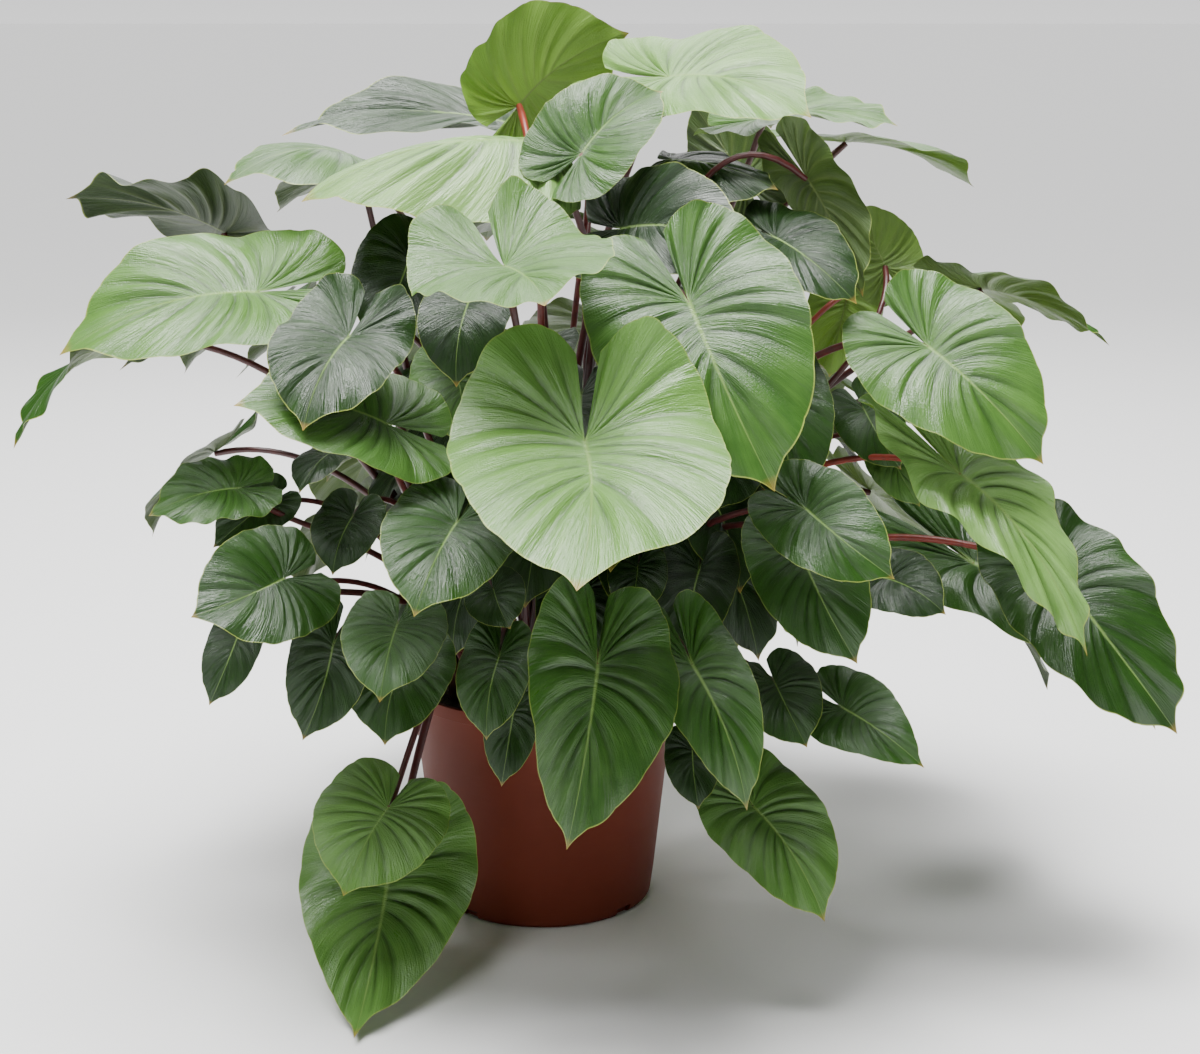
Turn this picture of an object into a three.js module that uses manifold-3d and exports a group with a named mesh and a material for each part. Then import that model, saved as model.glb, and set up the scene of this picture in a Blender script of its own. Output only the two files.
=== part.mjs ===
// A potted homalomena: a tapered nursery pot full of soil, the crowns that stand in it with their
// red leaf stalks, and the heart-shaped blades that the stalks carry.
// Millimetres, +Z up. The origin is the middle of the pot's underside, and -Y is the front.

import * as THREE from 'three';
import { mergeVertices } from 'three/addons/utils/BufferGeometryUtils.js';
import Module from 'manifold-3d';

const wasm = await Module();
wasm.setup();

// Driving dimensions
const gap = 0.3;

const pot = {
  rimRadius: 137.5,
  footRadius: 109,
  height: 228,
  wall: 2.4,
  base: 3,
  lipHeight: 14,
  lipOut: 3.2,
  cornerRadius: 7,
  cornerBevel: 2.1,
  innerCorner: 4.2,
  lipUnderside: 1,
  sides: 30,
  notchWidth: 20,
  notchHeight: 9,
  notchDepth: 16,
  notchCount: 4,
  firstNotchDeg: -42,
};

const soil = {
  top: 202,
  mound: 8,
  moundRadius: 96,
};

const crown = {
  radius: 18,
  footRadius: 15,
  foot: 150,
  top: 224,
  sides: 6,
  stalkRing: 12.5,
  stalkDepth: 10,
};

const blade = {
  thickness: 0.9,
  columns: 6,
  rows: 2,
  narrowColumns: 4,
  smallRows: 1,
  narrowWidth: 121,
  lobeAngleDeg: 171,
  widthToLength: 1.21,
  fanPower: 1.1,
  midribShare: 0.55,
  veinSag: 0.12,
  valleyRound: 0.03,
  pointRound: 0.17,
};

// The outline about the seat, as shares of the length: a round body, a shoulder that swells
// toward the tip, the short drip tip, and lobes that draw in behind the seat
const outline = {
  body: 0.55,
  shoulder: 0.33,
  shoulderDeg: 62,
  drip: 0.12,
  dripDeg: 5,
  lobeFromDeg: 110,
  lobeSpanDeg: 58,
  lobeDraw: 0.34,
};

const stalk = {
  sides: 5,
  smallSides: 4,
  steps: 4,
  rootRadius: 2.8,
  seatRadius: 1.9,
  radiusByWidth: 0.013,
  sink: 0.1,
  seatGap: 0.4,
  enterDeg: 55,
  hangingDeg: 45,
  riseShare: 0.42,
  runShare: 0.33,
  leanShare: 0.12,
};

const canopy = { x: 60, y: -10, z: 400 };

// The leaves of the far side, spread over the back of a dome
const far = {
  count: 29,
  turnShare: 0.618034,
  firstDeg: -2,
  spanDeg: 184,
  lowest: -0.3,
  highest: 0.9,
  innerShare: 0.67,
  outerShare: 0.94,
  reachX: 430,
  reachY: 400,
  reachZ: 450,
  setBack: 40,
  setUp: 20,
  shortest: 115,
  longest: 160,
  lengthShare: 0.755,
  widthShare: 1.08,
  sideDipDeg: 55,
  topDipDeg: 10,
  phaseStep: 0.37,
};

const farCrowns = ['back_side', 'back_right', 'back_middle', 'back_left'];

const colours = {
  pot: 0x5a2c22,
  soil: 0x2e241c,
  stalk: 0x6b2a22,
  blade: 0x4c7a3a,
};

// Where each crown stands in the soil
const crowns = {
  left: [-78, -12],
  front_left: [-54, -54],
  front: [-8, -78],
  front_right: [38, -70],
  right: [74, -34],
  middle: [0, -8],
  upper_right: [37, -26],
  back_left: [-58, 50],
  back_middle: [-8, 76],
  back_right: [42, 62],
  back_side: [76, 16],
};

// Ways that an upper face can look
const toFront = [0, -0.85, 0.5];
const frontAndUp = [0, -0.6, 0.8];
const skyward = [0, -0.25, 1];
const fromFront = [0, 0.8, 0.4];

// The leaves of the photographed side. Each has its crown, the point where its stalk meets it,
// its tip and its width, and what sets it apart: the way its upper face looks; arch, fold, cup,
// lift, lobes, point, wave, phase and twist of the blade; and enter, rise and run of the stalk.
const leaf = (name, from, seat, tip, width, form = {}) => ({ name, from, seat, tip, width, ...form });

const leaves = [
  leaf('upper_left_1', 'left', [-295, -60, 680], [-430, -110, 715], 150, {
    face: [0.1, 0.5, 0.85], wave: 0.07,
  }),
  leaf('upper_left_2', 'left', [-240, -230, 645], [-405, -265, 595], 160, { face: [0, -0.6, 0.85] }),
  leaf('upper_left_3', 'left', [-395, -95, 585], [-482, -145, 490], 130, {
    face: [-0.7, 0.15, 0.6], twist: 0.6,
  }),
  leaf('upper_left_4', 'left', [-254, -130, 611], [-378, -160, 565], 100, { face: [0, 0.3, 0.95] }),
  leaf('upper_left_5', 'left', [-165, -80, 750], [-275, -168, 732], 140, {
    face: skyward, arch: 0.14, fold: 0, cup: 0.6,
  }),
  leaf('upper_left_6', 'middle', [-35, 75, 775], [-250, 15, 765], 135, {
    face: [0, -0.35, 1], lobes: 0.7,
  }),
  leaf('upper_left_7', 'middle', [0, -175, 770], [-201, -215, 721], 160, {
    face: [0, -0.35, 0.9], fold: -0.45, lobes: 0.3, phase: 0,
  }),
  leaf('upper_left_8', 'front_left', [-150, -330, 620], [-180, -400, 555], 110, {
    face: toFront, lobes: 1.5, lift: 0.6,
  }),
  leaf('upper_left_9', 'left', [-120, -340, 550], [-240, -370, 570], 125, { face: frontAndUp }),
  leaf('top_1', 'middle', [-20, -345, 680], [15, -455, 662], 165, {
    arch: 0.02, lift: 1.1, fold: 0.25, lobes: 1.5, enter: 85,
  }),
  leaf('top_2', 'middle', [41, -200, 761], [113, -150, 813], 105, {
    face: [-0.2, -0.8, 0.55], fold: 0.4, phase: 0, enter: 90, rise: 420, run: 90,
  }),
  leaf('top_3', 'middle', [-20, -20, 795], [85, 15, 862], 155, { face: fromFront, lobes: 0.9 }),
  leaf('top_5', 'middle', [120, -95, 824], [243, -165, 790], 165, {
    face: [0, -0.55, 0.85], lobes: 1.5,
  }),
  leaf('top_6', 'upper_right', [212, -20, 784], [333, -65, 778], 115, { face: skyward }),
  leaf('top_7', 'upper_right', [200, 60, 722], [147, 100, 797], 100, { face: fromFront }),
  leaf('top_8', 'middle', [122, -130, 752], [214, -175, 728], 95, {
    face: [0, -0.5, 0.9], fold: -0.3, lobes: 0.5,
  }),
  leaf('top_9', 'upper_right', [240, -165, 738], [290, -185, 635], 80, { face: [0.6, 0.7, 0.3] }),
  leaf('top_10', 'upper_right', [210, -200, 689], [277, -250, 637], 100, { face: [0.3, -0.7, 0.6] }),
  leaf('middle_1', 'front_right', [76, -213, 698], [184, -273, 684], 122, { face: toFront, lobes: 0.95 }),
  leaf('middle_2', 'front_right', [131, -310, 646], [199, -380, 501], 185, { face: toFront }),
  leaf('middle_3', 'front_right', [210, -238, 559], [225, -268, 464], 95, { face: toFront }),
  leaf('middle_4', 'front', [45, -420, 550], [40, -570, 468], 225, {
    face: frontAndUp, arch: 0.03, lift: 1.1, lobes: 1.35,
  }),
  leaf('middle_5', 'front_left', [-60, -380, 475], [-90, -450, 415], 110, { face: toFront }),
  leaf('right_1', 'right', [340, -250, 600], [435, -290, 505], 145, {
    face: [0.1, -0.85, 0.45], point: 0.25,
  }),
  leaf('right_2', 'right', [319, -110, 653], [287, -120, 712], 75, { face: fromFront }),
  leaf('right_3', 'right', [400, -160, 640], [505, -210, 595], 120, { face: [0.2, 0.3, 0.9] }),
  leaf('right_4', 'right', [290, -60, 619], [273, -80, 546], 75, {
    face: [0.3, 0.8, 0.3], enter: 60, run: 60,
  }),
  leaf('right_5', 'right', [370, -260, 490], [473, -325, 345], 105, {
    face: [0.35, -0.75, 0.55], lobes: 1.4, twist: -0.25, point: 0.5,
  }),
  leaf('right_6', 'right', [475, -200, 380], [575, -250, 250], 135, { face: [0.15, -0.85, 0.5] }),
  leaf('right_7', 'right', [417, -80, 365], [585, -140, 217], 120, { face: [0.3, -0.7, 0.5] }),
  leaf('lower_right_1', 'front_right', [229, -300, 430], [275, -340, 343], 100, { face: toFront }),
  leaf('lower_right_2', 'front_right', [230, -330, 475], [300, -370, 425], 90, { face: toFront }),
  leaf('lower_right_3', 'right', [305, -270, 400], [355, -300, 375], 65, { face: toFront }),
  leaf('lower_right_4', 'front_right', [270, -300, 290], [335, -340, 250], 80, {
    face: toFront, point: 0.5,
  }),
  leaf('lower_right_6', 'front_right', [210, -290, 310], [235, -330, 265], 75, { face: toFront }),
  leaf('lower_right_7', 'front_right', [195, -260, 185], [255, -320, 100], 100, { face: toFront }),
  leaf('lower_right_8', 'front_right', [135, -350, 345], [180, -390, 230], 85, {
    face: toFront, point: 0.3,
  }),
  leaf('lower_middle_1', 'front', [55, -382, 355], [30, -452, 220], 143, {
    face: [0.45, -0.8, 0.4], fold: 0.4, point: 0.3,
  }),
  leaf('lower_middle_2', 'front', [-30, -310, 340], [-40, -340, 275], 65, { face: toFront }),
  leaf('lower_left_1', 'front_left', [-210, -330, 415], [-280, -380, 395], 110, { face: toFront }),
  leaf('lower_left_2', 'front_left', [-115, -330, 375], [-125, -390, 325], 90, { face: toFront }),
  leaf('lower_left_4', 'left', [-258, -270, 480], [-330, -290, 460], 78, { face: frontAndUp }),
  leaf('lower_left_9', 'front_left', [-175, -290, 345], [-200, -320, 268], 75, { face: toFront }),
  leaf('lower_left_10', 'front_left', [-115, -270, 325], [-130, -310, 260], 95, { face: toFront }),
  leaf('lower_left_11', 'front_left', [-135, -250, 180], [-170, -310, 120], 120, {
    face: toFront, rise: 200, run: 80, enter: 75,
  }),
  leaf('lower_left_12', 'front_left', [-140, -215, 96], [-158, -360, 8], 180, {
    face: frontAndUp, arch: -0.09, cup: 0.25, point: 0.7, enter: 35, rise: 220, run: 65,
  }),
];

// Small leaves between them, and one near the top of the far side, fused to their stalks
const smallLeaves = [
  leaf('y', 'back_right', [66, 98, 792], [92, 200, 762], 125, { face: skyward }),
  leaf('b', 'middle', [-112, -180, 668], [-145, -220, 598], 95, { face: toFront }),
  leaf('d', 'left', [-175, -260, 510], [-200, -290, 480], 60),
  leaf('e', 'left', [-260, -270, 350], [-285, -290, 290], 50, { face: toFront }),
  leaf('f', 'left', [-160, -250, 450], [-175, -280, 405], 62, { face: toFront }),
  leaf('h', 'left', [-240, -220, 455], [-285, -240, 420], 55, { face: toFront }),
  leaf('i', 'middle', [-55, -250, 640], [-65, -280, 570], 80, { face: toFront }),
  leaf('j', 'front', [-35, -290, 395], [-20, -310, 365], 56, { face: toFront }),
  leaf('l', 'front', [-20, -260, 275], [-30, -290, 215], 50, { face: toFront }),
  leaf('n', 'front', [-68, -235, 575], [-62, -255, 515], 85, { face: toFront }),
  leaf('o', 'front', [90, -250, 405], [80, -280, 365], 55, { face: toFront }),
  leaf('p', 'front', [-22, -262, 500], [-30, -300, 440], 80, { face: toFront }),
  leaf('q', 'right', [296, -170, 531], [328, -190, 480], 65, { face: toFront }),
  leaf('r', 'right', [320, -170, 492], [346, -190, 446], 53, { face: toFront }),
  leaf('t', 'front_right', [145, -240, 400], [135, -280, 330], 75, { face: toFront }),
  leaf('u', 'front_right', [170, -225, 495], [158, -248, 455], 65, { face: toFront }),
  leaf('v', 'front_right', [140, -250, 235], [145, -280, 190], 52, { face: toFront }),
];

// Helpers
const vector = (p) => new THREE.Vector3(...p);
const radians = THREE.MathUtils.degToRad;
const up = new THREE.Vector3(0, 0, 1);

function weld(geometry) {
  const bare = geometry.clone();
  bare.deleteAttribute('normal');
  bare.deleteAttribute('uv');
  return mergeVertices(bare, 1e-3);
}

function toSolid(geometry) {
  const welded = weld(geometry);
  const index = welded.index.array;
  const kept = [];
  for (let i = 0; i < index.length; i += 3) {
    const [a, b, c] = [index[i], index[i + 1], index[i + 2]];
    if (a !== b && b !== c && c !== a) kept.push(a, b, c);
  }
  const vertProperties = new Float32Array(welded.attributes.position.array);
  const mesh = new wasm.Mesh({ numProp: 3, vertProperties, triVerts: new Uint32Array(kept) });
  return new wasm.Manifold(mesh);
}

function toGeometry(solid) {
  const { vertProperties, triVerts } = solid.getMesh();
  const geometry = new THREE.BufferGeometry();
  geometry.setAttribute('position', new THREE.BufferAttribute(new Float32Array(vertProperties), 3));
  geometry.setIndex(new THREE.BufferAttribute(new Uint32Array(triVerts), 1));
  return geometry;
}

function lathe(points, sides) {
  const profile = points.map(([r, z]) => new THREE.Vector2(r, z));
  return new THREE.LatheGeometry(profile, sides).rotateX(Math.PI / 2);
}

// Radius of the outside of the tapered wall at a height
const taper = (pot.rimRadius - pot.lipOut - pot.footRadius) / pot.height;
const outerAt = (z) => pot.footRadius + taper * z;

// The pot, turned from its profile, with notches cut through its foot
function potGeometry() {
  const { rimRadius, footRadius, height, wall, base } = pot;
  const { lipHeight, lipUnderside, cornerRadius, cornerBevel, innerCorner } = pot;
  const profile = [
    [0, 0],
    [footRadius - cornerRadius, 0],
    [footRadius - cornerBevel, cornerBevel],
    [outerAt(cornerRadius), cornerRadius],
    [outerAt(height - lipHeight), height - lipHeight],
    [rimRadius, height - lipHeight + lipUnderside],
    [rimRadius, height],
    [outerAt(height) - wall, height],
    [outerAt(cornerRadius) - wall, base + innerCorner],
    [footRadius - cornerRadius, base],
    [0, base],
  ];
  let body = toSolid(lathe(profile, pot.sides));
  for (let i = 0; i < pot.notchCount; i++) {
    const notch = new THREE.BoxGeometry(pot.notchDepth, pot.notchWidth, pot.notchHeight * 2);
    notch.translate(footRadius, 0, 0);
    notch.rotateZ(radians(pot.firstNotchDeg) + (i * 2 * Math.PI) / pot.notchCount);
    body = body.subtract(toSolid(notch));
  }
  return toGeometry(body);
}

// The soil fits the inside of the pot, rises in a low mound and has a plain hole for each crown
function soilGeometry() {
  const { footRadius, wall, base, cornerRadius, innerCorner } = pot;
  const innerAt = (z) => outerAt(z) - wall - gap;
  const profile = [
    [0, base + gap],
    [footRadius - cornerRadius - gap, base + gap],
    [innerAt(cornerRadius), base + innerCorner + gap],
    [innerAt(soil.top), soil.top],
    [soil.moundRadius, soil.top + soil.mound],
    [0, soil.top + soil.mound],
  ];
  let body = toSolid(lathe(profile, pot.sides));
  for (const [x, y] of Object.values(crowns)) {
    const radius = crown.radius + gap;
    const depth = 2 * (soil.top + soil.mound - crown.foot + gap);
    const hole = new THREE.CylinderGeometry(radius, radius, depth, crown.sides);
    hole.rotateX(Math.PI / 2).translate(x, y, crown.foot - gap + depth / 2);
    body = body.subtract(toSolid(hole));
  }
  return toGeometry(body);
}

// Axes of a blade: along its midrib, up from its upper face, and to its side
function bladeFrame(l) {
  const seat = vector(l.seat);
  const along = vector(l.tip).sub(seat);
  const length = along.length();
  along.normalize();
  const outward = seat.clone().sub(vector([canopy.x, canopy.y, canopy.z])).normalize();
  const facing = l.face ? vector(l.face) : up.clone().add(outward);
  const face = facing.addScaledVector(along, -facing.dot(along)).normalize();
  const side = new THREE.Vector3().crossVectors(along, face);
  return { seat, along, face, side, length };
}

const bladeForm = (l) => ({
  arch: l.arch ?? 0.08,
  fold: l.fold ?? 0.22,
  cup: l.cup ?? 0.3,
  lift: l.lift ?? 0.2,
  wave: l.wave ?? 0.03,
  waves: l.waves ?? 2.5,
  phase: l.phase ?? 0.25,
  twist: l.twist ?? 0,
  lobes: l.lobes ?? 1.2,
  point: l.point ?? 0.12,
});

// Radius of the heart-shaped outline about the seat, for an angle from the tip in degrees
function outlineRadius(angle) {
  const drip = outline.drip * Math.exp(-angle / outline.dripDeg);
  const shoulder = outline.shoulder * Math.exp(-((angle / outline.shoulderDeg) ** 2));
  const lobe = Math.max(0, (angle - outline.lobeFromDeg) / outline.lobeSpanDeg);
  return (outline.body + drip + shoulder) * (1 - outline.lobeDraw * lobe * lobe);
}

// A point of the blade, u from the tip (0) round to the sinus (1), rho from the midrib (0)
// along a vein to the margin (1), on one side (-1 or 1)
function bladePoint(l, frame, form, side, u, rho) {
  const angle = blade.lobeAngleDeg * u ** blade.fanPower;
  const radius = outlineRadius(angle);
  const start = Math.max(0, 1 - u / blade.midribShare) ** 2;
  const endX = radius * Math.sin(radians(angle));
  const reach = radius * Math.cos(radians(angle));
  const endY = reach > 0 ? reach : reach * form.lobes;
  const sag = blade.veinSag * Math.hypot(endX, endY - start);
  const bend = 2 * rho * (1 - rho);
  const flatX = endX * (bend / 2 + rho * rho);
  const y = (1 - rho) ** 2 * start + bend * ((start + endY) / 2 - sag) + rho * rho * endY;
  const ahead = (y + Math.hypot(y, blade.pointRound)) / 2;
  const x = ((flatX * l.width) / (blade.widthToLength * frame.length)) * (1 - form.point * ahead);
  const rise = y > 0 ? 4 * form.arch * y * (1 - y) : 4 * form.arch * y + form.lift * y * y;
  const slant = Math.hypot(x, blade.valleyRound) - blade.valleyRound;
  const valley = form.fold * slant - form.cup * x * x;
  const ripple = form.wave * rho * rho * Math.sin(2 * Math.PI * (form.waves * u + form.phase) + side);
  const z = rise + valley + ripple;
  const turn = form.twist * y;
  const turnedX = side * x * Math.cos(turn) - z * Math.sin(turn);
  const turnedZ = side * x * Math.sin(turn) + z * Math.cos(turn);
  return frame.seat
    .clone()
    .addScaledVector(frame.side, turnedX * frame.length)
    .addScaledVector(frame.along, y * frame.length)
    .addScaledVector(frame.face, turnedZ * frame.length);
}

// The middle surface of a blade as a welded mesh with normals up from its upper face
function bladeSurface(l, columns, rows) {
  const frame = bladeFrame(l);
  const form = bladeForm(l);
  const positions = [];
  const index = [];
  for (const side of [-1, 1]) {
    const first = positions.length / 3;
    for (let i = 0; i <= columns; i++) {
      for (let j = 0; j <= rows; j++) {
        positions.push(...bladePoint(l, frame, form, side, i / columns, j / rows).toArray());
      }
    }
    for (let i = 0; i < columns; i++) {
      for (let j = 0; j < rows; j++) {
        const a = first + i * (rows + 1) + j;
        const b = a + rows + 1;
        if (side > 0) index.push(a, a + 1, b, b, a + 1, b + 1);
        else index.push(a, b, a + 1, b, b + 1, a + 1);
      }
    }
  }
  const surface = new THREE.BufferGeometry();
  surface.setAttribute('position', new THREE.BufferAttribute(new Float32Array(positions), 3));
  surface.setIndex(index);
  const welded = mergeVertices(surface, 1e-3);
  const kept = [];
  const ids = welded.index.array;
  for (let i = 0; i < ids.length; i += 3) {
    const [a, b, c] = [ids[i], ids[i + 1], ids[i + 2]];
    if (a !== b && b !== c && c !== a) kept.push(a, b, c);
  }
  welded.setIndex(kept);
  welded.computeVertexNormals();
  return welded;
}

// A closed shell round a surface, with the same triangles on both faces
function thicken(surface, thickness) {
  const points = surface.attributes.position;
  const normals = surface.attributes.normal;
  const count = points.count;
  const positions = [];
  for (const way of [0.5, -0.5]) {
    for (let i = 0; i < count; i++) {
      const shift = way * thickness;
      positions.push(
        points.getX(i) + shift * normals.getX(i),
        points.getY(i) + shift * normals.getY(i),
        points.getZ(i) + shift * normals.getZ(i),
      );
    }
  }
  const ids = surface.index.array;
  const edges = new Set();
  for (let i = 0; i < ids.length; i += 3) {
    for (let k = 0; k < 3; k++) edges.add(`${ids[i + k]},${ids[i + ((k + 1) % 3)]}`);
  }
  const index = [];
  for (let i = 0; i < ids.length; i += 3) {
    const triangle = [ids[i], ids[i + 1], ids[i + 2]];
    index.push(...triangle);
    index.push(triangle[0] + count, triangle[2] + count, triangle[1] + count);
    for (let k = 0; k < 3; k++) {
      const a = triangle[k];
      const b = triangle[(k + 1) % 3];
      if (!edges.has(`${b},${a}`)) index.push(b, a, a + count, b, a + count, b + count);
    }
  }
  const shell = new THREE.BufferGeometry();
  shell.setAttribute('position', new THREE.BufferAttribute(new Float32Array(positions), 3));
  shell.setIndex(index);
  return shell;
}

function bladeGeometry(l, rows) {
  const columns = l.width > blade.narrowWidth && rows > 1 ? blade.columns : blade.narrowColumns;
  return thicken(bladeSurface(l, columns, rows), blade.thickness);
}

// Where a stalk leaves its crown: the stalks stand in a ring, in the order of the ways they lean
function stalkRoot(l, members) {
  const [x, y] = crowns[l.from];
  const heading = (m) => Math.atan2(m.seat[1] - y, m.seat[0] - x);
  const way = heading(l);
  const turns = members.map((m) => Math.atan2(Math.sin(heading(m) - way), Math.cos(heading(m) - way)));
  const rank = turns.filter((turn) => turn < 0).length - turns.filter((turn) => turn > 0).length;
  const turn = way + (rank * Math.PI) / members.length;
  const ringX = x + crown.stalkRing * Math.cos(turn);
  const ringY = y + crown.stalkRing * Math.sin(turn);
  return vector([ringX, ringY, crown.top - crown.stalkDepth]);
}

const rootRadiusOf = (l) => stalk.rootRadius + stalk.radiusByWidth * l.width;
const seatRadiusOf = (l) => stalk.seatRadius + (stalk.radiusByWidth * l.width) / 2;

// The path of a stalk: up out of its crown, over, and in under its blade at the seat. It meets
// a hanging blade more nearly along its midrib.
function stalkCurve(l, members, fused) {
  const frame = bladeFrame(l);
  const form = bladeForm(l);
  const slope = 4 * form.arch;
  const tangent = frame.along.clone().addScaledVector(frame.face, slope).normalize();
  const normal = frame.face.clone().addScaledVector(frame.along, -slope).normalize();
  const angle = radians(l.enter ?? stalk.enterDeg + stalk.hangingDeg * Math.min(0, frame.along.z));
  const arrival = tangent.clone().multiplyScalar(Math.cos(angle)).addScaledVector(normal, Math.sin(angle));
  const clear = fused ? -stalk.sink : blade.thickness / 2 + stalk.seatGap;
  const below = seatRadiusOf(l) * Math.cos(angle) + clear;
  const end = frame.seat.clone().addScaledVector(normal, -below);
  const root = stalkRoot(l, members);
  const span = root.distanceTo(end);
  const lean = end.clone().sub(root).setZ(0).multiplyScalar(stalk.leanShare);
  const start = root.clone().addScaledVector(up, l.rise ?? stalk.riseShare * span).add(lean);
  const handle = end.clone().addScaledVector(arrival, -(l.run ?? stalk.runShare * span));
  return new THREE.CubicBezierCurve3(root, start, handle, end);
}

// A tapered bar bent along the path of the stalk, with a corner of its end toward the blade
function stalkGeometry(l, members, fused) {
  const curve = stalkCurve(l, members, fused);
  const { steps } = stalk;
  const sides = fused ? stalk.smallSides : stalk.sides;
  const bar = new THREE.CylinderGeometry(seatRadiusOf(l), rootRadiusOf(l), 1, sides, steps);
  const { tangents, normals, binormals } = curve.computeFrenetFrames(steps, false);
  const toBlade = new THREE.Vector3().crossVectors(bladeFrame(l).side, tangents[steps]);
  bar.rotateY(Math.atan2(toBlade.dot(normals[steps]), -toBlade.dot(binormals[steps])));
  const points = bar.attributes.position;
  for (let i = 0; i < points.count; i++) {
    const share = points.getY(i) + 0.5;
    const station = Math.round(share * steps);
    const centre = curve.getPointAt(share);
    centre.addScaledVector(normals[station], points.getX(i));
    centre.addScaledVector(binormals[station], -points.getZ(i));
    points.setXYZ(i, centre.x, centre.y, centre.z);
  }
  return bar;
}

function crownSolid(name) {
  const [x, y] = crowns[name];
  const height = crown.top - crown.foot;
  const stem = new THREE.CylinderGeometry(crown.radius, crown.footRadius, height, crown.sides);
  stem.rotateX(Math.PI / 2).translate(x, y, crown.foot + height / 2);
  return toSolid(stem);
}

// A crown with the stalks of all its leaves, and the blades of its small ones
function shootGeometry(name, large, small) {
  const members = [...large, ...small];
  let solid = crownSolid(name);
  for (const l of members) solid = solid.add(toSolid(stalkGeometry(l, members, small.includes(l))));
  for (const l of small) solid = solid.add(toSolid(bladeGeometry(l, blade.smallRows)));
  return toGeometry(solid);
}

// The leaves of the far side, spread by a fixed rule over the back of the canopy
function backLeaf(k) {
  const turn = (k * far.turnShare) % 1;
  const azimuth = radians(far.firstDeg + far.spanDeg * turn);
  const height = THREE.MathUtils.lerp(far.lowest, far.highest, (k + 0.5) / far.count);
  const level = Math.sqrt(1 - height * height);
  const depth = k % 2 ? far.innerShare : far.outerShare;
  const heading = new THREE.Vector3(Math.cos(azimuth), Math.sin(azimuth), 0);
  const seat = [
    canopy.x + far.reachX * depth * level * heading.x,
    canopy.y + far.setBack + far.reachY * depth * level * heading.y,
    canopy.z + far.setUp + far.reachZ * depth * height,
  ];
  const length = THREE.MathUtils.lerp(far.shortest, far.longest, (k * far.lengthShare) % 1);
  const dip = radians(THREE.MathUtils.lerp(far.sideDipDeg, far.topDipDeg, Math.max(0, height)));
  const tip = [
    seat[0] + length * Math.cos(dip) * heading.x,
    seat[1] + length * Math.cos(dip) * heading.y,
    seat[2] - length * Math.sin(dip),
  ];
  const sector = Math.floor((azimuth / Math.PI) * farCrowns.length);
  const from = farCrowns[THREE.MathUtils.clamp(sector, 0, farCrowns.length - 1)];
  return leaf(`back_${k}`, from, seat, tip, length * far.widthShare, { phase: k * far.phaseStep });
}

const backLeaves = Array.from({ length: far.count }, (_, k) => backLeaf(k));

// Assembly
const plant = new THREE.Group();
plant.name = 'potted_homalomena';

function addPiece(name, geometry, color, roughness) {
  const material = new THREE.MeshStandardMaterial({ color, roughness, metalness: 0 });
  const mesh = new THREE.Mesh(geometry, material);
  mesh.name = name;
  plant.add(mesh);
}

addPiece('pot', potGeometry(), colours.pot, 0.5);
addPiece('potting_soil', soilGeometry(), colours.soil, 1);

for (const name of Object.keys(crowns)) {
  const large = leaves.filter((l) => l.from === name);
  const small = [...smallLeaves, ...backLeaves].filter((l) => l.from === name);
  addPiece(`shoot_${name}`, shootGeometry(name, large, small), colours.stalk, 0.5);
}

for (const l of leaves) addPiece(`blade_${l.name}`, bladeGeometry(l, blade.rows), colours.blade, 0.4);

export default plant;
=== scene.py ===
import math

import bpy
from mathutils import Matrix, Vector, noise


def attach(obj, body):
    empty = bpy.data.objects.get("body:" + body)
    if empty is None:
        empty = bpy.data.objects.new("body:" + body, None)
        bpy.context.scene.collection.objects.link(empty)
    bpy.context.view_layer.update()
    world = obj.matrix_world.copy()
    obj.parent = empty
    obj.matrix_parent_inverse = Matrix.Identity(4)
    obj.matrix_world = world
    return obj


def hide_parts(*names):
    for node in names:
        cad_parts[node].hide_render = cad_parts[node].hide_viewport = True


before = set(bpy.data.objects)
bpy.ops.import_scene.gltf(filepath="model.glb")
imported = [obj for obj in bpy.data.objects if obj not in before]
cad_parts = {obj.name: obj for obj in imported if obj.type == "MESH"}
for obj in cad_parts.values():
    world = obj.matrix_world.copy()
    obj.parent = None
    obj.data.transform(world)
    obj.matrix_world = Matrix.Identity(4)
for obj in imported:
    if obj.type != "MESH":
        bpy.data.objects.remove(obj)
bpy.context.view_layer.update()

# A potted homalomena: pleated heart-shaped leaves on dark red stalks, in a brown nursery pot.
# The plant's own table is in millimetres, and everything that is built from it is in metres.
# +Z is up, and -Y is the front.

mm = 0.001
print("frame loaded:", len(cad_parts), "nodes")


# Node trees

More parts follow.
